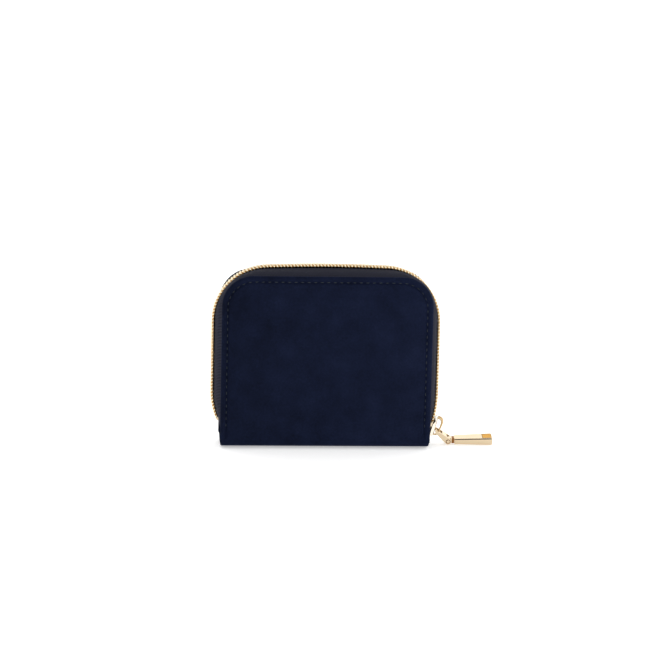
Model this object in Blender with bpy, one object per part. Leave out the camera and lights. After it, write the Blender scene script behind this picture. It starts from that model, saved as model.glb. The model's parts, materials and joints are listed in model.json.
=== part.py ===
"""Small zip-around wallet: two velvet covers on a soft spine, closed by a coil zip that runs round three sides.

Frame: +X right, +Y to the back, +Z up. The wallet stands on its spine; the origin is the centre of the
spine's underside, on the plane midway between the covers, where the two rows of the zip meet.
"""

import math

import bmesh
import bpy

MM = 0.001

# Covers
COVER_HALF_WIDTH = 53.0 * MM
COVER_BOTTOM = 2.2 * MM
COVER_TOP = 88.2 * MM
COVER_CORNER = 10.0 * MM
COVER_FOOT_CORNER = 2.0 * MM
HALF_DEPTH = 12.0 * MM
VELVET = 1.0 * MM
BOARD = 0.8 * MM
LINING = 0.3 * MM
CLEAR = 0.3 * MM  # between pieces that touch on the real wallet
BOARD_INSET = 3.2 * MM

# Zip round three sides, given by the centreline of its coils
ZIP_HALF_WIDTH = 57.0 * MM
ZIP_TOP = 92.2 * MM
ZIP_CORNER = 28.0 * MM
LEFT_BEND_RADIUS = 38.0 * MM
LEFT_BEND_START = 28.0 * MM
RIGHT_BEND_RADIUS = 70.0 * MM
RIGHT_BEND_START = 28.6 * MM
COIL_HALF_THICKNESS = 0.8 * MM
STOP_HALF_THICKNESS = 0.6 * MM
COIL_INNER = 0.55 * MM  # from the plane between the covers
COIL_OUTER = 2.3 * MM
TAPE = 0.5 * MM
TAPE_SET_BACK = 0.3 * MM  # tape's middle inside the coil's centreline
TAPE_ROOT_INSET = 1.5 * MM  # tape's root inside the cover's edge
TAPE_ROOT_FOOT = 7.2 * MM
LEFT_COIL_END = 21.3  # degrees round each bend, from the side's straight stretch
LEFT_STOP_END = 23.9
LEFT_TAPE_END = 30.2
RIGHT_COIL_END = 13.7
RIGHT_STOP_START = 13.95
RIGHT_STOP_END = 15.5
RIGHT_TAPE_END = 18.3

# Slider, in its own axes: s along the zip and n outward
SLIDER_ANGLE = 15.0  # degrees round the right bend
SLIDER_HALF_LENGTH = 5.2 * MM
SLIDER_HALF_WIDTH = 3.1 * MM
PLATE = 0.75 * MM
OUTER_PLATE_N = 1.75 * MM
INNER_PLATE_N = -2.3 * MM
POST_HALF_WIDTH = 0.25 * MM
POST_S = (-4.6 * MM, -1.6 * MM)
CROWN_HALF_WIDTH = 0.9 * MM

# Pull, leaning by PULL_LEAN about its length so that its front face looks slightly down
PULL_LEAN = math.radians(14.0)
PIVOT_S = -2.3 * MM
PIVOT_N = 3.6 * MM
PIN_X, PIN_Z = 63.6 * MM, 2.3 * MM
CROSSBAR_RADIUS = 0.4 * MM
LINK_HALF_WIDTH = 2.3 * MM
LINK_PLATE = 0.7 * MM
LINK_END_RADIUS = 1.7 * MM
LINK_NECK_RADIUS = 0.8 * MM
PIN_RADIUS = 0.6 * MM
BAR_START = 3.1 * MM  # from the pin
BAR_LENGTH = 19.5 * MM
BAR_NEAR = (5.1 * MM, 3.0 * MM)  # width and height
BAR_FAR = (6.6 * MM, 3.8 * MM)
TONGUE_HALF_WIDTH = 1.25 * MM
INLAY_SIZE = (4.2 * MM, 4.0 * MM)
INLAY_DEPTH = 0.35 * MM

# Inside
POCKET_WALL = 0.4 * MM
POCKET_RIM = 1.2 * MM
CARD_POCKET_HALF_WIDTH = 46.0 * MM
POCKET_FOOT = 5.2 * MM
CARD_POCKETS = ((-8.2 * MM, 72.0 * MM), (-6.9 * MM, 61.0 * MM), (-5.6 * MM, 50.0 * MM))
NOTE_POCKET_FACE = 8.2 * MM
NOTE_POCKET_TOP = 78.0 * MM
COIN_HALF_WIDTH = 44.0 * MM
COIN_DEPTH = (2.2 * MM, 7.9 * MM)
COIN_TOP = 64.0 * MM
COIN_WALL = 0.5 * MM


def clear_scene():
    for obj in list(bpy.data.objects):
        bpy.data.objects.remove(obj, do_unlink=True)


def material(name, colour, roughness, metallic=0.0):
    made = bpy.data.materials.new(name)
    made.use_nodes = True
    shader = made.node_tree.nodes["Principled BSDF"]
    shader.inputs["Base Color"].default_value = (*colour, 1.0)
    shader.inputs["Roughness"].default_value = roughness
    shader.inputs["Metallic"].default_value = metallic
    return made


def velvet(name):
    return material(name + "_velvet", (0.008, 0.012, 0.032), 0.9)


def board(name):
    return material(name + "_board", (0.35, 0.30, 0.23), 0.9)


def satin(name):
    return material(name + "_satin", (0.02, 0.025, 0.06), 0.45)


def leather(name):
    return material(name + "_leather", (0.012, 0.016, 0.035), 0.5)


def tape_cloth(name):
    return material(name + "_tape", (0.027, 0.028, 0.04), 0.85)


def gold(name):
    return material(name + "_gold", (0.86, 0.66, 0.36), 0.2, 1.0)


def add(name, mesh_data, made_material):
    mesh = bpy.data.meshes.new(name)
    mesh_data.to_mesh(mesh)
    mesh_data.free()
    mesh.materials.append(made_material)
    obj = bpy.data.objects.new(name, mesh)
    bpy.context.scene.collection.objects.link(obj)
    return obj


def swept(name, rings, made_material):
    """One closed solid through rings of points, each ring a section, with both ends capped."""
    work = bmesh.new()
    rows = [[work.verts.new(point) for point in ring] for ring in rings]
    for near, far in zip(rows, rows[1:]):
        for i in range(len(near)):
            k = (i + 1) % len(near)
            work.faces.new((near[i], near[k], far[k], far[i]))
    work.faces.new(rows[0][::-1])
    work.faces.new(rows[-1])
    bmesh.ops.recalc_face_normals(work, faces=work.faces)
    return add(name, work, made_material)


def box(name, low, high, made_material):
    ring = [(low[0], low[1]), (high[0], low[1]), (high[0], high[1]), (low[0], high[1])]
    return swept(name, [[(x, y, z) for x, y in ring] for z in (low[2], high[2])], made_material)


def cut(obj, cutter):
    cutter.hide_render = True
    cutter.display_type = "WIRE"
    boolean = obj.modifiers.new("cut", "BOOLEAN")
    boolean.operation = "DIFFERENCE"
    boolean.object = cutter
    return obj


def join(obj, other):
    other.hide_render = True
    other.display_type = "WIRE"
    boolean = obj.modifiers.new("join", "BOOLEAN")
    boolean.operation = "UNION"
    boolean.object = other
    return obj


def round_edges(obj, width, segments=2):
    bevel = obj.modifiers.new("bevel", "BEVEL")
    bevel.width = width
    bevel.segments = segments
    bevel.limit_method = "ANGLE"
    bevel.angle_limit = math.radians(50)
    return obj


def arc(centre, radius, first, last, steps):
    """Points on an arc in the XZ plane, with angles in degrees from +X towards +Z."""
    angles = [math.radians(first + (last - first) * i / steps) for i in range(steps + 1)]
    return [(centre[0] + radius * math.cos(a), centre[1] + radius * math.sin(a)) for a in angles]


def cover_outline(inset, foot, steps=8):
    """A cover's outline in XZ, inset from its edge: round corners above, small ones at the foot."""
    half, top = COVER_HALF_WIDTH - inset, COVER_TOP - inset
    radius = max(COVER_CORNER - inset, 3.0 * MM)
    small = COVER_FOOT_CORNER
    return (
        arc((-half + small, foot + small), small, 270, 180, 3)
        + arc((-half + radius, top - radius), radius, 180, 90, steps)
        + arc((half - radius, top - radius), radius, 90, 0, steps)
        + arc((half - small, foot + small), small, 0, -90, 3)
    )


def plate(name, outline, near, far, made_material):
    return swept(name, [[(x, y, z) for x, z in outline] for y in (near, far)], made_material)


def zip_stations(left_end, right_end):
    """Stations along the zip from its left foot to its right foot.

    Each is (x, z) on the coils' centreline, its outward normal, the matching point on the tape's root, and
    the root's outward normal. left_end and right_end are degrees round the bends at the two feet.
    """
    stations = []
    root_half = COVER_HALF_WIDTH - TAPE_ROOT_INSET
    root_top = COVER_TOP - TAPE_ROOT_INSET
    root_radius = COVER_CORNER - TAPE_ROOT_INSET
    corner_z = ZIP_TOP - ZIP_CORNER
    corner_x = ZIP_HALF_WIDTH - ZIP_CORNER
    root_corner_z = root_top - root_radius
    root_corner_x = root_half - root_radius

    def side(sign, z, z_foot):
        share = (z - z_foot) / (corner_z - z_foot)
        root_z = TAPE_ROOT_FOOT + share * (root_corner_z - TAPE_ROOT_FOOT)
        return (sign * root_half, root_z), (sign, 0.0)

    def bend(sign, radius, start, end, rising):
        z_foot = start - radius * math.sin(math.radians(end))
        steps = 6
        order = range(steps + 1) if rising else range(steps, -1, -1)
        for i in order:
            a = math.radians(end * (1 - i / steps))
            x = sign * (ZIP_HALF_WIDTH - radius + radius * math.cos(a))
            z = start - radius * math.sin(a)
            root, root_normal = side(sign, z, z_foot)
            stations.append(((x, z), (sign * math.cos(a), -math.sin(a)), root, root_normal))
        return z_foot

    def corner(sign, rising):
        steps = 8
        order = range(steps + 1) if rising else range(steps, -1, -1)
        for i in order:
            a = math.radians(90.0 * i / steps)
            direction = (sign * math.cos(a), math.sin(a))
            stations.append((
                (sign * corner_x + ZIP_CORNER * direction[0], corner_z + ZIP_CORNER * direction[1]),
                direction,
                (sign * root_corner_x + root_radius * direction[0],
                 root_corner_z + root_radius * direction[1]),
                direction,
            ))

    bend(-1, LEFT_BEND_RADIUS, LEFT_BEND_START, left_end, rising=True)
    corner(-1, rising=True)
    corner(1, rising=False)
    bend(1, RIGHT_BEND_RADIUS, RIGHT_BEND_START, right_end, rising=False)
    return stations


def along_bend(sign, first, last, steps=3):
    """Stations on one foot's bend between two angles, without the tape's root."""
    radius, start = (
        (LEFT_BEND_RADIUS, LEFT_BEND_START) if sign < 0 else (RIGHT_BEND_RADIUS, RIGHT_BEND_START)
    )
    found = []
    for i in range(steps + 1):
        a = math.radians(first + (last - first) * i / steps)
        x = sign * (ZIP_HALF_WIDTH - radius + radius * math.cos(a))
        found.append(((x, start - radius * math.sin(a)), (sign * math.cos(a), -math.sin(a))))
    return found


def coil_ring(point, normal, side, thickness):
    """A row's section at one station, on the cover's side (-1 front, +1 back) of the middle plane."""
    low, high = side * COIL_INNER, side * COIL_OUTER
    inner = (point[0] - normal[0] * thickness, point[1] - normal[1] * thickness)
    outer = (point[0] + normal[0] * thickness, point[1] + normal[1] * thickness)
    return [
        (inner[0], low, inner[1]),
        (outer[0], low, outer[1]),
        (outer[0], high, outer[1]),
        (inner[0], high, inner[1]),
    ]


def coil_row(name, side):
    rings = [
        coil_ring(point, normal, side, COIL_HALF_THICKNESS)
        for point, normal, _, _ in zip_stations(LEFT_COIL_END, RIGHT_COIL_END)
    ]
    return swept(name, rings, gold(name))


def coil_stop(name, side, foot, first, last):
    rings = [
        coil_ring(point, normal, side, STOP_HALF_THICKNESS) for point, normal in along_bend(foot, first, last)
    ]
    return swept(name, rings, gold(name))


def zip_tape(name, side):
    """The tape's wall, from its root under the cover's edge to the coil's edge."""
    rings = []
    root_y = side * (HALF_DEPTH - VELVET - CLEAR)
    edge_y = side * (COIL_OUTER + CLEAR)
    for point, normal, root, root_normal in zip_stations(LEFT_TAPE_END, RIGHT_TAPE_END):
        ring = []
        for offset in (TAPE / 2, -TAPE / 2):
            reach = offset - TAPE_SET_BACK
            pair = [
                (root[0] + root_normal[0] * offset, root_y, root[1] + root_normal[1] * offset),
                (point[0] + normal[0] * reach, edge_y, point[1] + normal[1] * reach),
            ]
            ring += pair if offset > 0 else pair[::-1]
        rings.append(ring)
    return swept(name, rings, tape_cloth(name))


def pocket(name, half_width, face, rim_to, top, made_material):
    """A sewn-on pocket panel: a flat wall whose side and foot edges turn back to the layer behind."""
    out = 1 if rim_to > face else -1
    low, high = sorted((face, rim_to))
    panel = box(name, (-half_width, low, POCKET_FOOT), (half_width, high, top), made_material)
    inner = sorted((face + out * POCKET_WALL, rim_to + out * MM))
    cutter = box(
        name + "_cutter",
        (-half_width + POCKET_RIM, inner[0], POCKET_FOOT + POCKET_RIM),
        (half_width - POCKET_RIM, inner[1], top + MM),
        made_material,
    )
    return cut(panel, cutter)


def covers():
    """Velvet, board and lining of both covers, from the outside in."""
    for name, side in (("front", -1), ("back", 1)):
        outside = side * HALF_DEPTH
        layers = (
            ("velvet", VELVET, 0.0, COVER_BOTTOM, velvet),
            ("board", BOARD, BOARD_INSET, COVER_BOTTOM + 2.0 * MM, board),
            ("lining", LINING, BOARD_INSET, COVER_BOTTOM + 2.0 * MM, satin),
        )
        for layer, thickness, inset, foot, finish in layers:
            full = f"{name}_{layer}"
            inside = outside - side * thickness
            made = plate(full, cover_outline(inset, foot), outside, inside, finish(full))
            if layer == "velvet":
                round_edges(made, 0.35 * MM)
            outside = inside - side * CLEAR


def spine():
    """The soft strip that the wallet stands on: velvet outside, a stiffener, and lining inside."""
    half = COVER_HALF_WIDTH - 1.5 * MM
    under = [(-11.6, 1.9), (-10.6, 0.75), (-8.0, 0.0), (8.0, 0.0), (10.6, 0.75), (11.6, 1.9)]
    over = [(10.5, 1.9), (9.9, 1.5), (7.8, 1.0), (-7.8, 1.0), (-9.9, 1.5), (-10.5, 1.9)]
    profile = [(y * MM, z * MM) for y, z in under + over]
    swept("spine_velvet", [[(x, y, z) for y, z in profile] for x in (-half, half)], velvet("spine_velvet"))
    box("spine_stiffener", (-half + MM, -7.5 * MM, 1.3 * MM), (half - MM, 7.5 * MM, 1.8 * MM),
        board("spine_stiffener"))
    box("spine_lining", (-half + MM, -8.4 * MM, 2.1 * MM), (half - MM, 8.4 * MM, 2.5 * MM),
        satin("spine_lining"))


def inside():
    """Card pockets in the front cover; a note pocket and a coin pocket in the back cover."""
    behind = -HALF_DEPTH + VELVET + BOARD + LINING + 2 * CLEAR
    for number, (face, top) in enumerate(CARD_POCKETS, 1):
        name = f"card_pocket_{number}"
        pocket(name, CARD_POCKET_HALF_WIDTH, face, behind + CLEAR, top, leather(name))
        behind = face
    lining_face = HALF_DEPTH - VELVET - BOARD - LINING - 2 * CLEAR
    pocket("note_pocket", CARD_POCKET_HALF_WIDTH, NOTE_POCKET_FACE, lining_face - CLEAR,
           NOTE_POCKET_TOP, leather("note_pocket"))
    coin = box("coin_pocket", (-COIN_HALF_WIDTH, COIN_DEPTH[0], POCKET_FOOT),
               (COIN_HALF_WIDTH, COIN_DEPTH[1], COIN_TOP), leather("coin_pocket"))
    hollow = box(
        "coin_pocket_cutter",
        (-COIN_HALF_WIDTH + COIN_WALL, COIN_DEPTH[0] + COIN_WALL, POCKET_FOOT + COIN_WALL),
        (COIN_HALF_WIDTH - COIN_WALL, COIN_DEPTH[1] - COIN_WALL, COIN_TOP + MM),
        leather("coin_pocket_cutter"),
    )
    cut(coin, hollow)


def zip_rows():
    for name, side in (("front", -1), ("back", 1)):
        zip_tape(f"{name}_zip_tape", side)
        coil_row(f"{name}_zip_coil", side)
        coil_stop(f"{name}_bottom_stop", side, -1, LEFT_COIL_END + 0.2, LEFT_STOP_END)
        coil_stop(f"{name}_top_stop", side, 1, RIGHT_STOP_START, RIGHT_STOP_END)


def slider_point(s, n, y):
    """World point of the slider's own axes: s along the zip, n outward, y across."""
    a = math.radians(SLIDER_ANGLE)
    x = ZIP_HALF_WIDTH - RIGHT_BEND_RADIUS + RIGHT_BEND_RADIUS * math.cos(a)
    z = RIGHT_BEND_START - RIGHT_BEND_RADIUS * math.sin(a)
    return (x + n * math.cos(a) + s * math.sin(a), y, z - n * math.sin(a) + s * math.cos(a))


def slider_block(name, s_range, n_range, profile, made_material):
    """A block between two heights n, whose outline in (s, y) is profile(s) = half-width at s."""
    steps = 8
    places = [s_range[0] + (s_range[1] - s_range[0]) * i / steps for i in range(steps + 1)]
    outline = [(s, -profile(s)) for s in places] + [(s, profile(s)) for s in reversed(places)]
    rings = [[slider_point(s, n, y) for s, y in outline] for n in n_range]
    return swept(name, rings, made_material)


def slider_width(s):
    """Half-width of the slider's plates: full at the flared end, narrower where the rows are meshed."""
    share = (s + SLIDER_HALF_LENGTH) / (2 * SLIDER_HALF_LENGTH)
    round_off = 1.0 - 0.35 * abs(2 * share - 1) ** 6
    return (SLIDER_HALF_WIDTH - 0.5 * MM * share) * round_off


def slider():
    length = (-SLIDER_HALF_LENGTH, SLIDER_HALF_LENGTH)
    gold_plate = gold("slider_body")
    top = slider_block("slider_body", length, (OUTER_PLATE_N, OUTER_PLATE_N + PLATE), slider_width, gold_plate)
    under = slider_block(
        "slider_under_plate", length, (INNER_PLATE_N - PLATE, INNER_PLATE_N), slider_width, gold_plate
    )
    post = slider_block(
        "slider_post", POST_S, (INNER_PLATE_N - PLATE / 2, OUTER_PLATE_N + PLATE / 2),
        lambda s: POST_HALF_WIDTH, gold_plate,
    )
    join(join(top, post), under)
    crown()


def crown():
    """The bridge on the slider's outer plate that holds the pull, thick at its head and thin at its foot."""
    foot_n = OUTER_PLATE_N + PLATE + 0.05 * MM
    line = [(4.5, foot_n / MM, 0.85), (4.45, 3.6, 0.85), (3.9, 4.55, 0.8), (2.9, 5.1, 0.65), (1.5, 5.2, 0.5),
            (0.0, 5.05, 0.42), (-1.5, 4.9, 0.38), (-3.0, 4.75, 0.38), (-3.9, 4.3, 0.38), (-4.35, 3.5, 0.38),
            (-4.5, foot_n / MM, 0.38)]
    rings = []
    for i, (s, n, half) in enumerate(line):
        before, after = line[max(i - 1, 0)], line[min(i + 1, len(line) - 1)]
        ds, dn = after[0] - before[0], after[1] - before[1]
        if i in (0, len(line) - 1):
            ds = 0.0
        size = math.hypot(ds, dn)
        across = (-dn / size * half, ds / size * half)
        rings.append([
            slider_point((s + sign * across[0]) * MM, (n + sign * across[1]) * MM, y)
            for sign, y in ((1, -CROWN_HALF_WIDTH), (1, CROWN_HALF_WIDTH), (-1, CROWN_HALF_WIDTH),
                            (-1, -CROWN_HALF_WIDTH))
        ])
    return swept("slider_crown", rings, gold("slider_crown"))


def pull_point(origin, direction, along, across, up):
    """A point of the pull: along the piece, across it on the pin's axis, and up, from origin.

    direction is the piece's length in the XZ plane, as an angle in radians from +X.
    """
    # In the pull's own plane, before it leans.
    u = along * math.cos(direction) - up * math.sin(direction)
    w = along * math.sin(direction) + up * math.cos(direction)
    return (
        origin[0] + u,
        origin[1] + across * math.cos(PULL_LEAN) - w * math.sin(PULL_LEAN),
        origin[2] + across * math.sin(PULL_LEAN) + w * math.cos(PULL_LEAN),
    )


def link_frame():
    """The link's pivot, its direction in the pull's plane, and its length to the pin."""
    pivot = slider_point(PIVOT_S, PIVOT_N, 0.0)
    dx, dz = PIN_X - pivot[0], (PIN_Z - pivot[2]) / math.cos(PULL_LEAN)
    return pivot, math.atan2(dz, dx), math.hypot(dx, dz)


def pin_centre():
    """The middle of the pin that joins the link and the bar."""
    pivot, direction, length = link_frame()
    return pull_point(pivot, direction, length, 0.0, 0.0)


def link():
    """A shackle: two flat cheeks, a crossbar through the crown, and a web along the upper edge."""
    pivot, direction, length = link_frame()
    finish = gold("pull_link")

    def cheek_outline(steps=8):
        slope = math.asin((LINK_END_RADIUS - LINK_NECK_RADIUS) / length)
        far = [(length + LINK_END_RADIUS * math.cos(a), LINK_END_RADIUS * math.sin(a))
               for a in [math.pi / 2 + slope - (math.pi + 2 * slope) * i / steps for i in range(steps + 1)]]
        near = [(LINK_NECK_RADIUS * math.cos(a), LINK_NECK_RADIUS * math.sin(a))
                for a in [-math.pi / 2 - slope - (math.pi - 2 * slope) * i / steps for i in range(steps + 1)]]
        return far + near

    def slab(name, outline, low, high):
        rings = [[pull_point(pivot, direction, a, across, u) for a, u in outline] for across in (low, high)]
        return swept(name, rings, finish)

    inner = LINK_HALF_WIDTH - LINK_PLATE
    front = slab("pull_link", cheek_outline(), -LINK_HALF_WIDTH, -inner)
    back = slab("pull_link_back_cheek", cheek_outline(), inner, LINK_HALF_WIDTH)
    turned = [(CROSSBAR_RADIUS * math.cos(a), CROSSBAR_RADIUS * math.sin(a))
              for a in [math.tau * i / 10 for i in range(10)]]
    reach = LINK_HALF_WIDTH - LINK_PLATE / 2
    crossbar = slab("pull_link_crossbar", turned, -reach, reach)
    web_start, web_end, web = 3.0 * MM, 5.85 * MM, 0.6 * MM

    def edge(a):
        """Height of the cheek's upper edge at a distance from the pivot."""
        return LINK_NECK_RADIUS + (LINK_END_RADIUS - LINK_NECK_RADIUS) * a / length

    band = [(web_start, edge(web_start)), (web_end, edge(web_end)), (web_end, edge(web_end) - web),
            (web_start, edge(web_start) - web)]
    web_piece = slab("pull_link_web", band, -reach, reach)
    for other in (crossbar, web_piece, back):
        join(front, other)
    return front


def pin():
    """The rivet that joins the link and the bar, with a low domed head at each end."""
    head = LINK_HALF_WIDTH + 0.35 * MM
    profile = [(-head, 0.45 * MM), (-head + 0.12 * MM, 0.85 * MM), (-LINK_HALF_WIDTH - 0.05 * MM, 0.95 * MM)]
    profile += [(-LINK_HALF_WIDTH - 0.05 * MM, PIN_RADIUS - 0.05 * MM)]
    profile += [(-across, radius) for across, radius in reversed(profile)]
    rings = [
        [pull_point(pin_centre(), 0.0, radius * math.cos(a), across, radius * math.sin(a))
         for a in [math.tau * i / 16 for i in range(16)]]
        for across, radius in profile
    ]
    return swept("pull_pin", rings, gold("pull_pin"))


def pin_hole(obj, name):
    """Cuts the pin's clearance hole through a piece."""
    reach = LINK_HALF_WIDTH + MM
    rings = [
        [pull_point(pin_centre(), 0.0, radius * math.cos(a), across, radius * math.sin(a))
         for a in [math.tau * i / 16 for i in range(16)]]
        for across, radius in ((-reach, PIN_RADIUS + 0.25 * MM), (reach, PIN_RADIUS + 0.25 * MM))
    ]
    return cut(obj, swept(name, rings, gold(name)))


def bar():
    """The tapered bar, with a tongue that turns on the pin and a shallow window for the inlay."""
    finish = gold("pull_bar")

    def section(along, width, height):
        foot = -BAR_NEAR[1] / 2
        return [pull_point(pin_centre(), 0.0, along, across, up) for across, up in
                ((-width / 2, foot), (width / 2, foot), (width / 2, foot + height), (-width / 2, foot + height))]

    body = swept("pull_bar", [section(BAR_START, *BAR_NEAR), section(BAR_START + BAR_LENGTH, *BAR_FAR)], finish)
    round_edges(body, 0.42 * MM, 1)
    steps = 8
    radius = 1.35 * MM
    outline = [(-radius * math.cos(a), radius * math.sin(a))
               for a in [math.pi / 2 - math.pi * i / steps for i in range(steps + 1)]]
    outline += [(BAR_START + 0.5 * MM, -radius), (BAR_START + 0.5 * MM, radius)]
    tongue = swept(
        "pull_bar_tongue",
        [[pull_point(pin_centre(), 0.0, along, across, up) for along, up in outline]
         for across in (-TONGUE_HALF_WIDTH, TONGUE_HALF_WIDTH)],
        finish,
    )
    join(body, tongue)

    def on_top(name, margin, low, high):
        """A block on the bar's sloping top face near its far end, between two heights from that face."""
        end = BAR_START + BAR_LENGTH - 0.7 * MM + margin
        start = end - INLAY_SIZE[0] - 2 * margin
        half = INLAY_SIZE[1] / 2 + margin
        rings = []
        for along in (start, end):
            share = (along - BAR_START) / BAR_LENGTH
            face = -BAR_NEAR[1] / 2 + BAR_NEAR[1] + (BAR_FAR[1] - BAR_NEAR[1]) * share
            rings.append([pull_point(pin_centre(), 0.0, along, across, face + up) for across, up in
                          ((-half, low), (half, low), (half, high), (-half, high))])
        return swept(name, rings, finish)

    cut(body, on_top("pull_bar_window", 0.3 * MM, -INLAY_DEPTH - CLEAR, 0.5 * MM))
    inlay = on_top("pull_inlay", 0.0, -INLAY_DEPTH, -0.02 * MM)
    inlay.data.materials.clear()
    inlay.data.materials.append(material("pull_inlay_gold", (0.8, 0.45, 0.12), 0.3, 1.0))
    return pin_hole(body, "pull_bar_hole")


def shade():
    """Smooth shading with hard edges kept."""
    for obj in bpy.data.objects:
        obj.data.shade_smooth()
        obj.data.set_sharp_from_angle(angle=math.radians(35))


clear_scene()
covers()
spine()
inside()
zip_rows()
slider()
pin_hole(link(), "pull_link_hole")
pin()
bar()
shade()
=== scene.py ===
"""The looks of the small velvet zip-around wallet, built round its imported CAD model."""

import json
import math

import bmesh
import bpy
from mathutils import Matrix, Vector, noise


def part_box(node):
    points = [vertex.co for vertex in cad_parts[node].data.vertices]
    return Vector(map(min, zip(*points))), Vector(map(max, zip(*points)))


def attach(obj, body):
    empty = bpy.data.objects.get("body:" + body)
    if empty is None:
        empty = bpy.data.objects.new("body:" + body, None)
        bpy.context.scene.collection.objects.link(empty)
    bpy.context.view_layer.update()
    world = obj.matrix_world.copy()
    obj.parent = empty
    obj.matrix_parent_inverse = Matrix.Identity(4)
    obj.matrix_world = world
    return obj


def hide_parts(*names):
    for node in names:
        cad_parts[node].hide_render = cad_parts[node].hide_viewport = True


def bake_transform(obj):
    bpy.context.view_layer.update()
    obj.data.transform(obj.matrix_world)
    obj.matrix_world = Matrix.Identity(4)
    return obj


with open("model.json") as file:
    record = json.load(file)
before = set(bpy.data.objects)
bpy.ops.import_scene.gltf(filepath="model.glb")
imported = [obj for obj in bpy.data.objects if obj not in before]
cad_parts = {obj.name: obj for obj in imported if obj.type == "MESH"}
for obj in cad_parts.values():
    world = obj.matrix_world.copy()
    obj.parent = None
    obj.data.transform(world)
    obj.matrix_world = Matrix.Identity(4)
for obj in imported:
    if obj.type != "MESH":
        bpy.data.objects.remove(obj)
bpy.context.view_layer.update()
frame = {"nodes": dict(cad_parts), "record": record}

MM = 0.001

# Sizes taken from the CAD nodes
front_low, front_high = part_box("front_velvet")
COVER_HALF = front_high.x
COVER_FOOT = front_low.z
COVER_TOP = front_high.z
COVER_FACE = -front_low.y
COVER_INSIDE = -front_high.y
coil_low, coil_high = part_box("back_zip_coil")
COIL_INNER = coil_low.y
COIL_OUTER = coil_high.y
COIL_MIDDLE = (COIL_INNER + COIL_OUTER) / 2
pin_low, pin_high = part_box("pull_pin")
PIN = (pin_low + pin_high) / 2

# Outlines, which the CAD's boxes can't give. The covers' upper corners are rounder than the CAD's.
COVER_CORNER = 15.5 * MM
FOOT_CORNER = 2.0 * MM

# The zip's line: two straight sides, a top that bows up, two corners, and a bend at each foot
ZIP_HALF = 57.0 * MM
ZIP_TOP = 91.4 * MM
ZIP_ARCH = 0.6 * MM
ZIP_CORNER = 28.0 * MM
# The left (-1) and the right (1) bend: its radius, and the height where it starts
BENDS = {-1: (38.0 * MM, 28.0 * MM), 1: (70.0 * MM, 28.6 * MM)}
# How far each row and each tape runs round the left and the right bend, in degrees
COIL_ENDS = (21.3, 13.9)
TAPE_ENDS = (30.2, 18.3)
PATH_STEP = 2.0 * MM  # between two sections of the tape, cord or gap-shadow strip

# The line on the cover where the tape is sewn in
TAPE_ROOT_INSET = 1.5 * MM
TAPE_ROOT_FOOT = 7.2 * MM
TAPE_ROOT_CORNER = COVER_CORNER - 3.0 * MM - TAPE_ROOT_INSET

# The slider's place on the right bend, and how far its pull leans
SLIDER_ANGLE = math.radians(15.0)
PULL_LEAN = math.radians(14.0)

# The velvet's cover: a turned and puffed edge, and a sewn groove
COVER_TURN = 0.88 * MM
COVER_TURN_STEPS = 6
COVER_HEM = 0.2 * MM
HEM_INSETS = (2.4 * MM, 0.3 * MM)
PUFF_RISE = 0.38 * MM
GROOVE_DEPTH = 0.55 * MM
GROOVE_HALF = 0.55 * MM
FIELD_RISE = 0.30 * MM
WAVE_RISE, WAVE_SCALE = 0.16 * MM, 38
RIPPLE_RISE, RIPPLE_SCALE = 0.05 * MM, 3.1
# Insets of the rings on the cover's face, in mm, closest together across the groove
FACE_INSETS = [1.3, 1.7, 2.1, 2.5, 2.8, 3.05, 3.25, 3.45, 3.7, 4.1, 4.7, 5.6,
               7, 9, 11.5, 14.5, 18, 22, 26, 30, 34, 38, 41.5]

# Stitches
STITCH_INSET = 2.9 * MM
STITCH_PITCH = 3.25 * MM
STITCH_LENGTH = 1.5 * MM
THREAD_RADIUS = 0.17 * MM
THREAD_SUNK = 0.24 * MM
THREAD_DIVE = 0.3 * MM
THREAD_TAPER = [0.35, 0.8, 1.0, 1.0, 1.0, 0.8, 0.35]
SEWN_BELOW = 0.24  # stitches end where an outline's foot share reaches this
FOOT_SHARE = 0.25  # an outline's foot share where its foot corners meet its sides

# The spine's outer face in mm, from its middle up to the cover's foot
SPINE_PROFILE = [
    (0.0, 0.0), (2.5, 0.02), (4.5, 0.20), (6.5, 0.50), (8.0, 0.85), (9.3, 1.22),
    (10.4, 1.62), (11.2, 2.05), (11.7, 2.5), (11.95, 3.0), (12.0, 3.6),
]
SPINE_WALL = 0.75
SPINE_ROUNDING = 0.4 * MM
SPINE_SAG = 0.06 * MM

# The tape's section
TAPE_ROWS = 9
TAPE_THICKNESS = 0.45 * MM
TAPE_BELLY = 1.1 * MM
TAPE_SET_IN = 1.35 * MM
BEAD_RISE = 0.3 * MM
BEAD_PLACE = 0.86
BEAD_HALF = 0.06

# The coils, the cord inside them, and the near-black strip beside them, painted shadow for the gap
# between coil and tape
COIL_PITCH = 1.7 * MM
COIL_TURN_STEPS = 12
COIL_WIRE = 0.45 * MM
COIL_RADIAL = 0.6 * MM
BACK_ROW_PHASE = -1.18  # lines the back row's strands up with the front row's
CORD_RADIUS = 0.62 * MM
GAP_SHADOW_RADIUS = 0.42 * MM
GAP_SHADOW_INSET = 1.4 * MM

# The slider in mm, about its own centre: s along the zip, n away from the wallet
SLIDER_HALF = 5.2
SLIDER_STEPS = 24
SLIDER_WIDTH, SLIDER_NARROWING = 3.15, 0.2
SLIDER_WALL = 0.4
UPPER_LIP, UPPER_ROOF, UPPER_RISE = 0.45, 2.45, 0.05
UNDER_LIP, UNDER_INNER, UNDER_EDGE, UNDER_FACE = -2.15, -2.3, -2.6, -3.05
POST_SECTION = ((-4.7, -0.1), (-3.0, -0.24), (-1.6, -0.05), (-1.6, 0.05), (-3.0, 0.24), (-4.7, 0.1))
POST_SPAN = (-2.6, 1.9)

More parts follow.
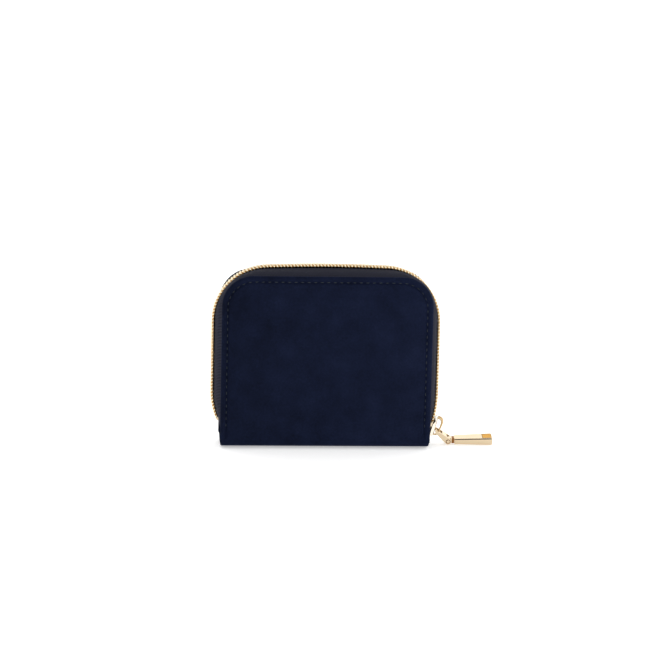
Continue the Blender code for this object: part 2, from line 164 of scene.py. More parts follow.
# The crown's centreline in mm, from its head to its foot: s, n and half of its thickness
CROWN_LINE = [
    (4.5, 2.4, 0.82), (4.45, 3.6, 0.85), (3.9, 4.55, 0.8), (2.9, 5.1, 0.65), (1.5, 5.2, 0.5),
    (0.0, 5.05, 0.42), (-1.5, 4.9, 0.38), (-3.0, 4.75, 0.38), (-3.9, 4.3, 0.38), (-4.35, 3.5, 0.38),
    (-4.5, 2.4, 0.38),
]
CROWN_HALF_WIDTH = 0.9
CROWN_SIDES = 16
CROWN_SQUARENESS = 0.6  # 1 is a round section, and less is squarer

# The pull's small details, and the painted shade round its rivets and over its tongue
RIVET_RADIUS = 1.04 * MM
RIVET_LINE = (0.15 * MM, 0.08 * MM)
LINK_CHEEK = 2.3 * MM
TONGUE_SHADE_HALF = (1.29 * MM, 1.39 * MM)
TONGUE_SHADE_SPAN = (1.95 * MM, 3.06 * MM)


def smooth(edge0, edge1, x):
    t = min(max((x - edge0) / (edge1 - edge0), 0.0), 1.0)
    return t * t * (3 - 2 * t)


def lerp(a, b, t):
    return a + (b - a) * t


# ---------------------------------------------------------------- materials

GLOSS_SPREAD = 0.05  # how far the metal's roughness strays either way


class Nodes:
    """A material's node tree, with short ways to add and link nodes."""

    def __init__(self, name, colour, roughness, metallic=0.0):
        self.material = bpy.data.materials.new(name)
        self.material.use_nodes = True
        self.tree = self.material.node_tree
        self.shader = self.tree.nodes["Principled BSDF"]
        self.set("Base Color", (*colour, 1.0))
        self.set("Roughness", roughness)
        self.set("Metallic", metallic)
        self.place = self.new("ShaderNodeTexCoord").outputs["Object"]

    def new(self, kind, **settings):
        node = self.tree.nodes.new(kind)
        for key, value in settings.items():
            setattr(node, key, value)
        return node

    def set(self, socket, value):
        self.shader.inputs[socket].default_value = value

    def link(self, output, target):
        self.tree.links.new(output, target)

    def mapped(self, scale):
        mapping = self.new("ShaderNodeMapping")
        mapping.inputs["Scale"].default_value = scale
        self.link(self.place, mapping.inputs["Vector"])
        return mapping.outputs["Vector"]

    def noise(self, scale, detail=2.0, roughness=0.5, vector=None):
        texture = self.new("ShaderNodeTexNoise")
        texture.inputs["Scale"].default_value = scale
        texture.inputs["Detail"].default_value = detail
        texture.inputs["Roughness"].default_value = roughness
        self.link(vector or self.place, texture.inputs["Vector"])
        return texture.outputs["Fac"]

    def wave(self, scale, direction, distortion):
        texture = self.new("ShaderNodeTexWave", bands_direction=direction)
        texture.inputs["Scale"].default_value = scale
        texture.inputs["Distortion"].default_value = distortion
        self.link(self.place, texture.inputs["Vector"])
        return texture.outputs["Fac"]

    def math(self, operation, a, b):
        node = self.new("ShaderNodeMath", operation=operation)
        for socket, value in zip(node.inputs, (a, b)):
            if isinstance(value, (int, float)):
                socket.default_value = value
            else:
                self.link(value, socket)
        return node.outputs[0]

    def ramp(self, fac, stops):
        node = self.new("ShaderNodeValToRGB")
        elements = node.color_ramp.elements
        while len(elements) < len(stops):
            elements.new(0.5)
        for element, (position, colour) in zip(elements, stops):
            element.position = position
            element.color = (*colour, 1.0)
        self.link(fac, node.inputs["Fac"])
        return node.outputs["Color"]

    def bump(self, height, distance, strength=1.0, after=None):
        node = self.new("ShaderNodeBump")
        node.inputs["Distance"].default_value = distance
        node.inputs["Strength"].default_value = strength
        self.link(height, node.inputs["Height"])
        if after:
            self.link(after, node.inputs["Normal"])
        self.link(node.outputs["Normal"], self.shader.inputs["Normal"])
        return node.outputs["Normal"]

    def vary_roughness(self, fac, low, high):
        node = self.new("ShaderNodeMapRange")
        node.inputs["To Min"].default_value = low
        node.inputs["To Max"].default_value = high
        self.link(fac, node.inputs["Value"])
        self.link(node.outputs["Result"], self.shader.inputs["Roughness"])


def velvet_material():
    """Navy velvet: nap patches, painted lighter towards the right as painted light from that side, a
    faint sheen and a fine pile.
    """
    made = Nodes("navy_velvet", (0.008, 0.012, 0.033), 0.95)
    patches = made.noise(75.0, 4.0, 0.6)
    fine = made.noise(900.0, 2.0, 0.6)
    coarse_part = made.math("MULTIPLY", patches, 0.6)
    fine_part = made.math("MULTIPLY", fine, 0.4)
    mixed = made.math("ADD", coarse_part, fine_part)
    # Painted light: the velvet grows lighter towards the right, standing in for light falling from that
    # side
    axes = made.new("ShaderNodeSeparateXYZ")
    made.link(made.place, axes.inputs["Vector"])
    painted_right_light = made.math("ADD", made.math("MULTIPLY", axes.outputs["X"], 1.3), -0.02)
    mixed = made.math("ADD", mixed, painted_right_light)
    colour = made.ramp(mixed, [
        (0.30, (0.0036, 0.0054, 0.0145)),
        (0.5, (0.0056, 0.0086, 0.0238)),
        (0.72, (0.0085, 0.0126, 0.0335)),
    ])
    made.link(colour, made.shader.inputs["Base Color"])
    made.set("Specular IOR Level", 0.05)
    made.set("Sheen Weight", 0.05)
    made.set("Sheen Roughness", 0.45)
    made.set("Sheen Tint", (0.25, 0.34, 0.75, 1.0))
    pile = made.bump(made.noise(2600.0, 2.0, 0.7), 0.12 * MM, 0.7)
    made.bump(made.noise(160.0, 3.0, 0.6), 0.10 * MM, 0.5, after=pile)
    return made.material


def tape_material():
    """Woven polyester zip tape, a dark grey-violet twill."""
    made = Nodes("zip_tape_twill", (0.026, 0.027, 0.040), 0.85)
    rib = made.wave(430.0, "DIAGONAL", 0.6)
    cross = made.wave(520.0, "Y", 0.3)
    weave = made.math("MULTIPLY", rib, cross)
    colour = made.ramp(weave, [(0.0, (0.010, 0.0105, 0.0180)), (0.5, (0.0255, 0.0265, 0.0440))])
    made.link(colour, made.shader.inputs["Base Color"])
    made.set("Specular IOR Level", 0.10)
    made.set("Sheen Weight", 0.02)
    made.bump(weave, 0.12 * MM, 0.7)
    return made.material


def satin_material():
    """Navy lining satin with a fine weft."""
    made = Nodes("navy_satin", (0.006, 0.0085, 0.027), 0.42)
    weft = made.wave(1400.0, "Z", 0.4)
    made.bump(weft, 0.03 * MM, 0.5)
    made.vary_roughness(made.noise(60.0, 3.0), 0.36, 0.52)
    made.set("Sheen Weight", 0.03)
    made.set("Specular IOR Level", 0.35)
    return made.material


def leather_material():
    """Navy leatherette with a small pebble grain."""
    made = Nodes("navy_leatherette", (0.013, 0.018, 0.045), 0.48)
    cells = made.new("ShaderNodeTexVoronoi", feature="DISTANCE_TO_EDGE")
    cells.inputs["Scale"].default_value = 1100.0
    made.link(made.place, cells.inputs["Vector"])
    grain = made.math("MINIMUM", cells.outputs["Distance"], 0.22)
    made.bump(grain, 0.25 * MM, 0.6)
    shades = [(0.3, (0.0055, 0.0078, 0.021)), (0.7, (0.0095, 0.013, 0.033))]
    tone = made.ramp(made.noise(70.0, 3.0), shades)
    made.link(tone, made.shader.inputs["Base Color"])
    made.vary_roughness(made.noise(220.0, 2.0), 0.40, 0.58)
    return made.material


def board_material():
    """Pale pressed board with long fibres."""
    made = Nodes("pressed_board", (0.33, 0.27, 0.19), 0.9)
    fibres = made.noise(900.0, 4.0, 0.7, made.mapped((1.0, 1.0, 0.25)))
    tone = made.ramp(fibres, [(0.3, (0.24, 0.19, 0.13)), (0.7, (0.40, 0.34, 0.25))])
    made.link(tone, made.shader.inputs["Base Color"])
    made.bump(fibres, 0.08 * MM, 0.5)
    return made.material


def thread_material():
    """Dark navy sewing thread, twisted."""
    made = Nodes("sewing_thread", (0.012, 0.022, 0.050), 0.55)
    twist = made.wave(2600.0, "DIAGONAL", 0.2)
    made.bump(twist, 0.06 * MM, 0.8)
    tone = made.ramp(twist, [(0.0, (0.002, 0.004, 0.007)), (1.0, (0.014, 0.027, 0.036))])
    made.link(tone, made.shader.inputs["Base Color"])
    return made.material


def gap_shadow_material():
    """Near-black painted shadow for the gap where each coil meets its tape."""
    made = Nodes("painted_gap_shadow", (0.003, 0.003, 0.004), 0.8)
    twist = made.wave(900.0, "DIAGONAL", 0.3)
    made.bump(twist, 0.08 * MM, 0.8)
    made.set("Specular IOR Level", 0.08)
    return made.material


def gold_material(name, colour, roughness):
    """Plated metal, pale gold, with faint polishing marks and slightly uneven gloss."""
    made = Nodes(name, colour, roughness, 1.0)
    marks = made.noise(500.0, 3.0, 0.6, made.mapped((0.3, 1.0, 1.0)))
    made.vary_roughness(marks, roughness - GLOSS_SPREAD, roughness + GLOSS_SPREAD)
    made.bump(marks, 0.01 * MM, 0.25)
    return made.material


MATERIALS = {
    "velvet": velvet_material(),
    "tape": tape_material(),
    "lining": satin_material(),
    "pocket": leather_material(),
    "board": board_material(),
    "thread": thread_material(),
    "coil": gold_material("plated_coil", (0.95, 0.84, 0.60), 0.18),
    # Bronze painted shade, seen in the gaps between a coil's strands
    "cord": gold_material("gap_shade_bronze", (0.50, 0.26, 0.085), 0.5),
    # Dark brass painted shade, round the rivet heads and over the bar's tongue
    "shade": gold_material("shaded_brass", (0.26, 0.11, 0.03), 0.45),
    # Near-black painted shadow for the gap between each coil and its tape
    "gap_shadow": gap_shadow_material(),
    "hardware": gold_material("pale_gold", (0.69, 0.56, 0.385), 0.15),
    # The slider shell's gold is paler than the pull's: painted highlight for its bright, almost white
    # shine
    "slider": gold_material("highlight_pale_gold", (0.90, 0.82, 0.70), 0.12),
    "crown": gold_material("crown_gold", (0.58, 0.42, 0.23), 0.16),
    "inlay": gold_material("deep_gold", (0.54, 0.27, 0.03), 0.25),
}


# ---------------------------------------------------------------- mesh helpers


def piece(name, work, material, body, slot, *replaced, flat_above=40):
    """Turns a bmesh into a named piece on a body, smooth but for its sharp edges."""
    bmesh.ops.recalc_face_normals(work, faces=work.faces)
    mesh = bpy.data.meshes.new(name)
    work.to_mesh(mesh)
    work.free()
    mesh.materials.append(MATERIALS[material])
    obj = bpy.data.objects.new(name, mesh)
    bpy.context.scene.collection.objects.link(obj)
    mesh.shade_smooth()
    mesh.set_sharp_from_angle(angle=math.radians(flat_above))
    if body:
        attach(obj, body)
    if replaced:
        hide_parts(*replaced)
    return obj


def loft(work, rings, loop=False):
    """Adds a skin through rings of points to a bmesh, capped at both ends or joined end to end."""
    rows = [[work.verts.new(point) for point in ring] for ring in rings]
    pairs = list(zip(rows, rows[1:])) + ([(rows[-1], rows[0])] if loop else [])
    for near, far in pairs:
        for i in range(len(near)):
            k = (i + 1) % len(near)
            work.faces.new((near[i], near[k], far[k], far[i]))
    if not loop:
        work.faces.new(rows[0][::-1])
        work.faces.new(rows[-1])


def outward(_):
    """The same direction for every section of a tube: straight out of the wallet's face."""
    return Vector((0, 1, 0))


def tube_rings(points, radius, sides, up):
    """Round sections along a line of points; up(i) gives a direction that is never along the line."""
    rings = []
    for i, point in enumerate(points):
        before, after = points[max(i - 1, 0)], points[min(i + 1, len(points) - 1)]
        along = (after - before).normalized()
        side = along.cross(up(i)).normalized()
        over = side.cross(along)
        size = radius(i) if callable(radius) else radius
        turns = [math.tau * k / sides for k in range(sides)]
        rings.append([point + side * (size * math.cos(a)) + over * (size * math.sin(a)) for a in turns])
    return rings


def soften(obj, width, segments):
    """Rounds an object's sharp edges."""
    bevel = obj.modifiers.new("bevel", "BEVEL")
    bevel.width = width
    bevel.segments = segments
    bevel.limit_method = "ANGLE"
    bevel.angle_limit = math.radians(40)
    return obj


# ---------------------------------------------------------------- outlines


def cover_outline(inset):
    """Points round a cover at an inset from its edge, from its foot's middle, as many at any inset.

    Each is (x, z, foot): foot is 1 on the foot edge, falls up the sides, and is 0 along the top.
    """
    half, top, foot = COVER_HALF - inset, COVER_TOP - inset, COVER_FOOT + inset
    round_top = max(COVER_CORNER - 0.8 * inset, 1.0 * MM)
    round_foot = max(FOOT_CORNER - 0.3 * inset, 0.8 * MM)
    points = []

    def line(a, b, steps, share_a, share_b):
        for i in range(steps):
            t = i / steps
            points.append((lerp(a[0], b[0], t), lerp(a[1], b[1], t), lerp(share_a, share_b, t)))

    def corner(cx, cz, radius, first, last, steps, share_a, share_b):
        for i in range(steps):
            t = i / steps
            a = math.radians(lerp(first, last, t))
            x, z = cx + radius * math.cos(a), cz + radius * math.sin(a)
            points.append((x, z, lerp(share_a, share_b, t)))

    foot_x, foot_z = half - round_foot, foot + round_foot
    top_x, top_z = half - round_top, top - round_top
    line((0, foot), (-foot_x, foot), 16, 1, 1)
    corner(-foot_x, foot_z, round_foot, 270, 180, 6, 1, FOOT_SHARE)
    line((-half, foot_z), (-half, top_z), 30, FOOT_SHARE, 0)
    corner(-top_x, top_z, round_top, 180, 90, 14, 0, 0)
    line((-top_x, top), (top_x, top), 34, 0, 0)
    corner(top_x, top_z, round_top, 90, 0, 14, 0, 0)
    line((half, top_z), (half, foot_z), 30, 0, FOOT_SHARE)
    corner(foot_x, foot_z, round_foot, 360, 270, 6, FOOT_SHARE, 1)
    line((foot_x, foot), (0, foot), 16, 1, 1)
    return points


def bend_point(sign, degrees):
    """A point of the coils' centreline on one foot's bend, and its outward normal."""
    radius, start = BENDS[sign]
    a = math.radians(degrees)
    return (
        (sign * (ZIP_HALF - radius + radius * math.cos(a)), start - radius * math.sin(a)),
        (sign * math.cos(a), -math.sin(a)),
    )


def zip_line(left_end, right_end, step):
    """Stations at an even step along the zip: its point and normal, and the tape root's."""
    corner_x, corner_z = ZIP_HALF - ZIP_CORNER, ZIP_TOP - ZIP_CORNER
    root_half, root_top = COVER_HALF - TAPE_ROOT_INSET, COVER_TOP - TAPE_ROOT_INSET
    root_x, root_z = root_half - TAPE_ROOT_CORNER, root_top - TAPE_ROOT_CORNER

    def on_side(sign, z, z_foot):
        share = (z - z_foot) / (corner_z - z_foot)
        return (sign * root_half, lerp(TAPE_ROOT_FOOT, root_z, share)), (sign, 0.0)

    def bend(sign, end):
        z_foot = bend_point(sign, end)[0][1]

        def at(t):
            point, normal = bend_point(sign, end * (1 - t))
            return (point, normal, *on_side(sign, point[1], z_foot))

        return math.radians(end) * BENDS[sign][0], at

    def straight(sign, end):
        z_foot = bend_point(sign, end)[0][1]
        start = BENDS[sign][1]

        def at(t):
            z = lerp(start, corner_z, t)
            return ((sign * ZIP_HALF, z), (sign, 0.0), *on_side(sign, z, z_foot))

        return corner_z - start, at

    def corner(sign):
        def at(t):
            a = math.radians(90 * t)
            d = (sign * math.cos(a), math.sin(a))
            point = (sign * corner_x + ZIP_CORNER * d[0], corner_z + ZIP_CORNER * d[1])
            root = (sign * root_x + TAPE_ROOT_CORNER * d[0], root_z + TAPE_ROOT_CORNER * d[1])
            return point, d, root, d

        return math.pi / 2 * ZIP_CORNER, at

    def across():
        def at(t):
            up = (0.0, 1.0)
            bow = ZIP_ARCH * (1 - (2 * t - 1) ** 2)
            point = (lerp(-corner_x, corner_x, t), ZIP_TOP + bow)
            return point, up, (lerp(-root_x, root_x, t), root_top), up

        return 2 * corner_x, at

    def turned(span):
        return span[0], lambda t: span[1](1 - t)

    spans = [bend(-1, left_end), straight(-1, left_end), corner(-1), across()]
    spans += [turned(corner(1)), turned(straight(1, right_end)), turned(bend(1, right_end))]
    total = sum(length for length, _ in spans)
    count = round(total / step)
    stations = []
    for i in range(count + 1):
        left = total * i / count
        for length, at in spans:
            if left <= length or at is spans[-1][1]:
                stations.append(at(min(left / length, 1.0)))
                break
            left -= length
    return stations


# ---------------------------------------------------------------- covers


def cover_relief(inset, x, z, foot):
    """How far the velvet stands out from the flat face: a puffed edge, a sewn groove, a soft field."""
    sewn = 1 - smooth(0.2, 0.9, foot)
    edge = PUFF_RISE * smooth(0.0, 1.4 * MM, inset) * (1 - smooth(1.8 * MM, 3.0 * MM, inset)) * sewn
    distance = (inset - STITCH_INSET) / GROOVE_HALF
    groove = -GROOVE_DEPTH * math.exp(-distance * distance) * sewn
    field = FIELD_RISE * smooth(4.0 * MM, 12.0 * MM, inset)
    where = Vector((x * WAVE_SCALE, 0.0, z * WAVE_SCALE))
    waves = WAVE_RISE * noise.noise(where) + RIPPLE_RISE * noise.noise(where * RIPPLE_SCALE)
    return edge + groove + field + waves * smooth(1.0 * MM, 6.0 * MM, inset)


def cover_skin(name, side, body):
    """A cover's velvet: turned over its edge, puffed outside its stitches, and faintly uneven."""
    rings = []

    def ring(inset, y):
        """A ring on the turned edge or the face, where the relief shows."""
        outline = cover_outline(inset)
        return [(x, side * (y + cover_relief(inset, x, z, foot)), z) for x, z, foot in outline]

    for inset in HEM_INSETS:
        rings.append([(x, side * COVER_INSIDE, z) for x, z, _ in cover_outline(inset)])
    turn_start = COVER_INSIDE + COVER_HEM
    turn_depth = COVER_FACE - COVER_INSIDE - COVER_HEM
    for i in range(COVER_TURN_STEPS + 1):
        a = math.pi / 2 * i / COVER_TURN_STEPS
        rings.append(ring(COVER_TURN * (1 - math.cos(a)), turn_start + turn_depth * math.sin(a)))
    for inset in FACE_INSETS:
        rings.append(ring(inset * MM, COVER_FACE))
    work = bmesh.new()
    loft(work, rings)
    return piece(name, work, "velvet", body, "velvet", f"{body.split('_')[0]}_velvet", flat_above=80)


def stitches(name, side, body):
    """One short thread for each stitch: up out of the groove, along it, and down again."""
    line = [(x, z) for x, z, foot in cover_outline(STITCH_INSET) if foot < SEWN_BELOW]
    lengths = [math.dist(a, b) for a, b in zip(line, line[1:])]
    total = sum(lengths)

    def at(distance):
        for (a, b), length in zip(zip(line, line[1:]), lengths):
            if distance <= length:
                t = distance / length
                return Vector((lerp(a[0], b[0], t), 0, lerp(a[1], b[1], t)))
            distance -= length
        return Vector((line[-1][0], 0, line[-1][1]))

    work = bmesh.new()
    count = int(total / STITCH_PITCH)
    for i in range(count):
        middle = (i + 0.5) * total / count
        points = []
        for k in range(len(THREAD_TAPER)):
            t = k / (len(THREAD_TAPER) - 1)
            p = at(middle + (t - 0.5) * STITCH_LENGTH)
            p.y = side * (COVER_FACE - THREAD_SUNK - THREAD_DIVE * (2 * t - 1) ** 4)
            points.append(p)
        loft(work, tube_rings(points, lambda k: THREAD_RADIUS * THREAD_TAPER[k], 6, outward))
    return piece(name, work, "thread", body, "velvet")


# ---------------------------------------------------------------- spine


def spine_skin(name, side):
    """Half of the spine's velvet, from its middle up to the cover's foot, where it joins the cover."""
    inner = [
        (y - SPINE_WALL * smooth(6, 11, y), z + SPINE_WALL * (1 - smooth(9, 12, y)))
        for y, z in SPINE_PROFILE
    ]
    section = SPINE_PROFILE + inner[::-1]
    half = COVER_HALF - 0.5 * MM
    even = half - 1.5 * MM
    stations = [-half, -half + SPINE_ROUNDING]
    stations += [lerp(-even, even, i / 40) for i in range(41)]
    stations += [half - SPINE_ROUNDING, half]
    rings = []
    for x in stations:
        end = SPINE_ROUNDING if abs(x) == half else 0.0
        sag = SPINE_SAG * noise.noise(Vector((x * 60, side, 0.5)))
        ring = []
        for y, z in section:
            out = y * MM - end * smooth(9, 12, y)
            rise = z * MM + end * 0.5 + sag * smooth(8, 10, y)
            ring.append((x, side * out, max(rise, 0.0)))
        rings.append(ring)
    work = bmesh.new()
    loft(work, rings)
    made = piece(name, work, "velvet", None, "velvet", flat_above=80)
    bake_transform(made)
    return made


# ---------------------------------------------------------------- zip


def tape(name, side, body):
    """The tape's wall: bellied between the cover and the coil, with a beaded edge along the coil."""
    root_y, edge_y = COVER_INSIDE - 0.1 * MM, COIL_OUTER - 0.6 * MM
    outer_face = [(1, i) for i in range(TAPE_ROWS + 1)]
    inner_face = [(-1, i) for i in range(TAPE_ROWS, -1, -1)]
    rings = []
    for point, normal, root, root_normal in zip_line(*TAPE_ENDS, PATH_STEP):
        ring = []
        for face, i in outer_face + inner_face:
            t = i / TAPE_ROWS
            belly = TAPE_BELLY * math.sin(math.pi * t)
            bead = BEAD_RISE * math.exp(-(((t - BEAD_PLACE) / BEAD_HALF) ** 2)) if face > 0 else 0.0
            offset = face * TAPE_THICKNESS / 2 + belly + bead - TAPE_SET_IN * t
            x = lerp(root[0], point[0], t) + lerp(root_normal[0], normal[0], t) * offset
            z = lerp(root[1], point[1], t) + lerp(root_normal[1], normal[1], t) * offset
            ring.append((x, side * lerp(root_y, edge_y, t), z))
        rings.append(ring)
    work = bmesh.new()
    loft(work, rings)
    return piece(name, work, "tape", body, "tape", f"{body.split('_')[0]}_zip_tape", flat_above=70)


def coil(name, side, body):
    """One row of the zip: a coil of plated wire, one loop to each tooth."""
    phase = BACK_ROW_PHASE if side > 0 else 0.0
    half_y = (COIL_OUTER - COIL_INNER) / 2 - COIL_WIRE * 0.9
    points, centres = [], []
    for i, (point, normal, _, _) in enumerate(zip_line(*COIL_ENDS, COIL_PITCH / COIL_TURN_STEPS)):
        a = math.tau * i / COIL_TURN_STEPS + phase
        out = COIL_RADIAL * math.cos(a)
        y = side * COIL_MIDDLE - half_y * math.sin(a)
        points.append(Vector((point[0] + normal[0] * out, y, point[1] + normal[1] * out)))
        centres.append(Vector((point[0], side * COIL_MIDDLE, point[1])))
    work = bmesh.new()
    loft(work, tube_rings(points, COIL_WIRE, 6, lambda i: points[i] - centres[i]))
    return piece(name, work, "coil", body, "coil", f"{body.split('_')[0]}_zip_coil", flat_above=180)


def beside_coil(inset, y):
    """Points along a coil, at an inset towards the wallet."""
    stations = zip_line(*COIL_ENDS, PATH_STEP)
    return [Vector((p[0] - n[0] * inset, y, p[1] - n[1] * inset)) for p, n, _, _ in stations]


def coil_core(name, side, body):
    """The cord inside each coil, which fills it and holds it to the tape, coloured bronze as painted
    shade for the gaps between the strands.
    """
    work = bmesh.new()
    loft(work, tube_rings(beside_coil(0.0, side * COIL_MIDDLE), CORD_RADIUS, 8, outward))
    return piece(name, work, "cord", body, "coil", flat_above=180)


def gap_shadow_strip(name, side, body):
    """A near-black strip just inside the coil, where it meets the tape: painted shadow for the gap
    there.
    """
    work = bmesh.new()
    points = beside_coil(GAP_SHADOW_INSET, side * (COIL_OUTER - 0.1 * MM))
    loft(work, tube_rings(points, GAP_SHADOW_RADIUS, 8, outward))
    return piece(name, work, "gap_shadow", body, "tape", flat_above=180)


# ---------------------------------------------------------------- slider and pull


def slider_point(s, n, y):
    """A point from the slider's centre: s mm up the zip, n mm away from the wallet, y mm to the back."""
    radius, start = BENDS[1]
    cos, sin = math.cos(SLIDER_ANGLE), math.sin(SLIDER_ANGLE)
    s, n, y = s * MM, n * MM, y * MM
    x = ZIP_HALF - radius + radius * cos
    z = start - radius * sin
    return Vector((x + n * cos + s * sin, y, z - n * sin + s * cos))


def slider_width(s):
    """Half of the slider's width: a little narrower towards its head, with rounded ends."""
    share = (s + SLIDER_HALF) / (2 * SLIDER_HALF)
    rounding = 1 - 0.07 * abs(2 * share - 1) ** 7
    return (SLIDER_WIDTH - SLIDER_NARROWING * share) * rounding


def upper_section(s):
    """The plate outside the zip, as (y, n): its walls reach over the rows, and less so at its head."""
    w = slider_width(s)
    top = UPPER_ROOF + UPPER_RISE - 0.35 * abs(s / SLIDER_HALF) ** 6
    edge = UPPER_LIP + (UPPER_ROOF - 0.9 - UPPER_LIP) * smooth(0.2, 3.4, s)
    shoulder, ceiling = UPPER_ROOF * 0.78, UPPER_ROOF - 0.75
    flat = 1.2  # half of the level part of its roof
    return [
        (-w, edge), (-w, shoulder), (-w + 0.22, top - 0.45), (-w + 0.75, top - 0.12), (-flat, top),
        (flat, top), (w - 0.75, top - 0.12), (w - 0.22, top - 0.45), (w, shoulder), (w, edge),
        (w - SLIDER_WALL, edge), (w - SLIDER_WALL, ceiling),
        (-w + SLIDER_WALL, ceiling), (-w + SLIDER_WALL, edge),
    ]


def under_section(s):
    """The plate inside the wallet, under the rows, as (y, n)."""
    w = slider_width(s)
    return [
        (-w, UNDER_LIP), (-w, UNDER_EDGE), (-w + 0.5, UNDER_FACE),
        (w - 0.5, UNDER_FACE), (w, UNDER_EDGE), (w, UNDER_LIP),
        (w - SLIDER_WALL, UNDER_LIP), (w - SLIDER_WALL, UNDER_INNER),
        (-w + SLIDER_WALL, UNDER_INNER), (-w + SLIDER_WALL, UNDER_LIP),
    ]


def slider_body():
    """The cast slider: two channelled plates that wrap the rows, joined by a post between them."""
    work = bmesh.new()
    places = [-SLIDER_HALF + 2 * SLIDER_HALF * i / SLIDER_STEPS for i in range(SLIDER_STEPS + 1)]
    for section in (upper_section, under_section):
        loft(work, [[slider_point(s, n, y) for y, n in section(s)] for s in places])
    loft(work, [[slider_point(s, n, y) for s, y in POST_SECTION] for n in POST_SPAN])
    made = piece("slider_shell", work, "slider", "slider", "hardware", "slider_body", flat_above=35)
    return soften(made, 0.10 * MM, 2)


def spline(values, steps):
    """A smooth run through rows of numbers, with several points between each two."""
    out = []
    for i in range(len(values) - 1):
        p0, p1, p2, p3 = (values[min(max(i + k, 0), len(values) - 1)] for k in (-1, 0, 1, 2))
        for j in range(steps):
            t = j / steps
            row = []
            for a, b, c, d in zip(p0, p1, p2, p3):
                square = (2 * a - 5 * b + 4 * c - d) * t * t
                cube = (3 * b - a - 3 * c + d) * t ** 3
                row.append(0.5 * (2 * b + (c - a) * t + square + cube))
            out.append(tuple(row))
    return out + [tuple(values[-1])]


def crown():
    """The bridge that holds the pull: thick and round-topped at its head, thin at its foot."""
    line = spline(CROWN_LINE, 4)
    rings = []
    for i, (s, n, half) in enumerate(line):
        before, after = line[max(i - 1, 0)], line[min(i + 1, len(line) - 1)]
        size = math.hypot(after[0] - before[0], after[1] - before[1])
        across = (-(after[1] - before[1]) / size, (after[0] - before[0]) / size)
        ring = []
        for k in range(CROWN_SIDES):
            a = math.tau * k / CROWN_SIDES
            c, d = math.cos(a), math.sin(a)
            u = math.copysign(abs(c) ** CROWN_SQUARENESS, c) * half
            y = math.copysign(abs(d) ** CROWN_SQUARENESS, d) * CROWN_HALF_WIDTH
            ring.append(slider_point(s + across[0] * u, n + across[1] * u, y))
        rings.append(ring)
    work = bmesh.new()
    loft(work, rings)
    return piece("crown_bridge", work, "crown", "slider", "hardware", "slider_crown", flat_above=60)


def pull_point(across, up, along):
    """A point of the pull from the middle of its pin, in the pull's own leaning axes."""
    cos, sin = math.cos(PULL_LEAN), math.sin(PULL_LEAN)
    return PIN + Vector((along, across * cos - up * sin, across * sin + up * cos))


def rivet_rings():
    """A dark line of painted shade round each rivet head, where it sits in the link's cheek."""
    work = bmesh.new()
    line_half, line_rise = RIVET_LINE
    for side in (-1, 1):
        rings = []
        for i in range(28):
            a = math.tau * i / 28
            ring = []
            for k in range(6):
                b = math.tau * k / 6
                radius = RIVET_RADIUS + line_half * math.cos(b)
                across = side * (LINK_CHEEK + line_rise * math.sin(b))
                ring.append(pull_point(across, radius * math.sin(a), radius * math.cos(a)))
            rings.append(ring)
        loft(work, rings, loop=True)
    return piece("rivet_rings", work, "shade", "link", "hardware", flat_above=180)


def tongue_shade_sleeve():
    """A dark sleeve just over the bar's tongue, between the link and the bar: painted shade where the
    tongue meets the link.
    """
    work = bmesh.new()
    w, h = TONGUE_SHADE_HALF
    section = ((-w, -h), (w, -h), (w, h), (-w, h))
    loft(work, [[pull_point(across, up, along) for across, up in section] for along in TONGUE_SHADE_SPAN])
    return piece("tongue_shade_sleeve", work, "shade", "bar", "hardware")


# ---------------------------------------------------------------- CAD nodes that stay


def finish_nodes():
    """Gives each CAD node that still shows its own finish."""
    finishes = {r["node"]: r["material_slot"] for r in frame["record"]["subparts"]}
    for node, obj in frame["nodes"].items():
        obj.data.materials.clear()
        obj.data.materials.append(MATERIALS[finishes[node]])


# ---------------------------------------------------------------- camera and light


def point_at(obj, target, roll=0.0):
    """Turns a camera or light to a target, then rolls it about its line of sight."""
    direction = Vector(target) - obj.location
    turn = direction.to_track_quat("-Z", "Y")
    obj.rotation_euler = (turn.to_matrix().to_4x4() @ Matrix.Rotation(roll, 4, "Z")).to_euler()


def camera():
    azimuth, elevation, distance = math.radians(-4.5), math.radians(11.0), 1.5
    target = Vector((-0.5, 0.0, 61.5)) * MM
    data = bpy.data.cameras.new("camera")
    data.lens = 165.0
    data.sensor_width = 36.0
    data.clip_end = 50.0
    obj = bpy.data.objects.new("camera", data)
    bpy.context.scene.collection.objects.link(obj)
    level = math.cos(elevation)
    away = Vector((math.sin(azimuth) * level, -math.cos(azimuth) * level, math.sin(elevation)))
    obj.location = target + away * distance
    point_at(obj, target, math.radians(1.3))
    bpy.context.scene.camera = obj


def area(name, place, target, size, power):
    data = bpy.data.lights.new(name, "AREA")
    data.shape = "RECTANGLE"
    data.size, data.size_y = size
    data.energy = power
    obj = bpy.data.objects.new(name, data)
    bpy.context.scene.collection.objects.link(obj)
    obj.location = place
    point_at(obj, target)


def card(name, corners):
    """A black card for the metal to reflect."""
    mesh = bpy.data.meshes.new(name)
    mesh.from_pydata(corners, [], [(0, 1, 2, 3)])
    black = Nodes(name, (0.01, 0.01, 0.01), 0.9)
    black.set("Specular IOR Level", 0.0)
    mesh.materials.append(black.material)
    obj = bpy.data.objects.new(name, mesh)
    bpy.context.scene.collection.objects.link(obj)


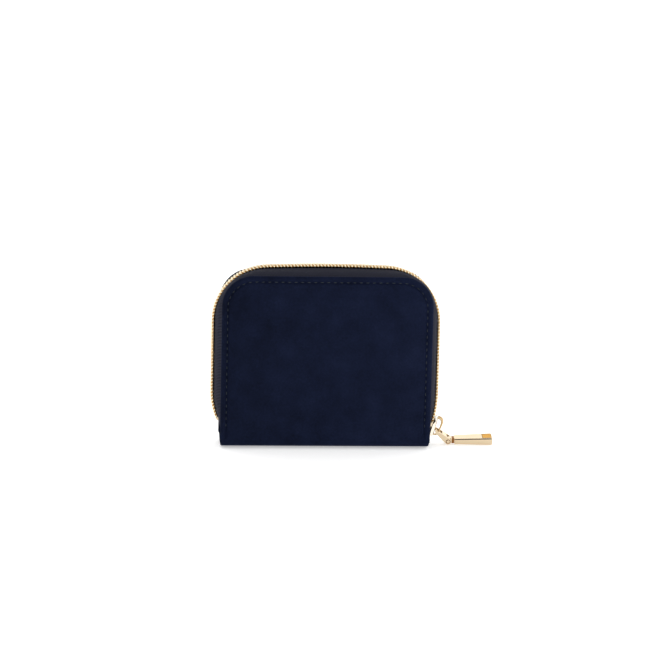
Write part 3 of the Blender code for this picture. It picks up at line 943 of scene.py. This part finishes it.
def studio():
    """A white floor that curves up into a white backdrop, lit from the front and the right."""
    work = bmesh.new()
    floor_end, curve, backdrop_top = 0.8, 0.6, 3.0
    profile = [(-3.0, 0.0), (floor_end, 0.0)]
    for degrees in range(10, 91, 10):
        a = math.radians(degrees)
        profile.append((floor_end + curve * math.sin(a), curve - curve * math.cos(a)))
    profile.append((floor_end + curve, backdrop_top))
    rows = [[work.verts.new((x, y, z)) for y, z in profile] for x in (-4.0, 4.0)]
    for i in range(len(profile) - 1):
        work.faces.new((rows[0][i], rows[1][i], rows[1][i + 1], rows[0][i + 1]))
    mesh = bpy.data.meshes.new("studio_floor")
    work.to_mesh(mesh)
    work.free()
    mesh.shade_smooth()
    floor = bpy.data.objects.new("studio_floor", mesh)
    bpy.context.scene.collection.objects.link(floor)
    paper = Nodes("white_paper", (0.93, 0.93, 0.93), 0.9)
    paper.set("Specular IOR Level", 0.1)
    paper.set("Emission Color", (1.0, 1.0, 1.0, 1.0))
    paper.set("Emission Strength", 0.42)
    mesh.materials.append(paper.material)

    # Its reflection darkens the metal's upward faces
    flag = ((-0.6, -0.65), (0.7, -0.65), (0.7, -0.15), (-0.6, -0.15))
    card("overhead_flag", [(x, y, 0.60) for x, y in flag])

    world = bpy.context.scene.world or bpy.data.worlds.new("studio")
    bpy.context.scene.world = world
    world.use_nodes = True
    background = world.node_tree.nodes["Background"]
    background.inputs["Color"].default_value = (1.0, 1.0, 1.0, 1.0)
    background.inputs["Strength"].default_value = 1.0
    middle = (0.0, 0.0, 0.05)
    area("light_front", (-0.2, -1.3, 0.9), middle, (0.9, 0.6), 3.0)
    area("light_right", (1.0, -0.2, 0.5), middle, (0.4, 0.8), 2.5)
    bpy.context.scene.view_settings.view_transform = "Standard"


# ---------------------------------------------------------------- build

finish_nodes()
for half_name, half_side in (("front", -1), ("back", 1)):
    half_body = f"{half_name}_half"
    cover_skin(f"{half_name}_cover_velvet", half_side, half_body)
    stitches(f"{half_name}_stitching", half_side, half_body)
    tape(f"{half_name}_tape_cloth", half_side, half_body)
    coil(f"{half_name}_coil_wire", half_side, half_body)
    coil_core(f"{half_name}_coil_cord", half_side, half_body)
    gap_shadow_strip(f"{half_name}_zip_gap_shadow", half_side, half_body)
    skin = spine_skin(f"spine_skin_{half_name}", half_side)
    if half_side < 0:
        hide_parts("spine_velvet")
slider_body()
crown()
rivet_rings()
tongue_shade_sleeve()
camera()
studio()
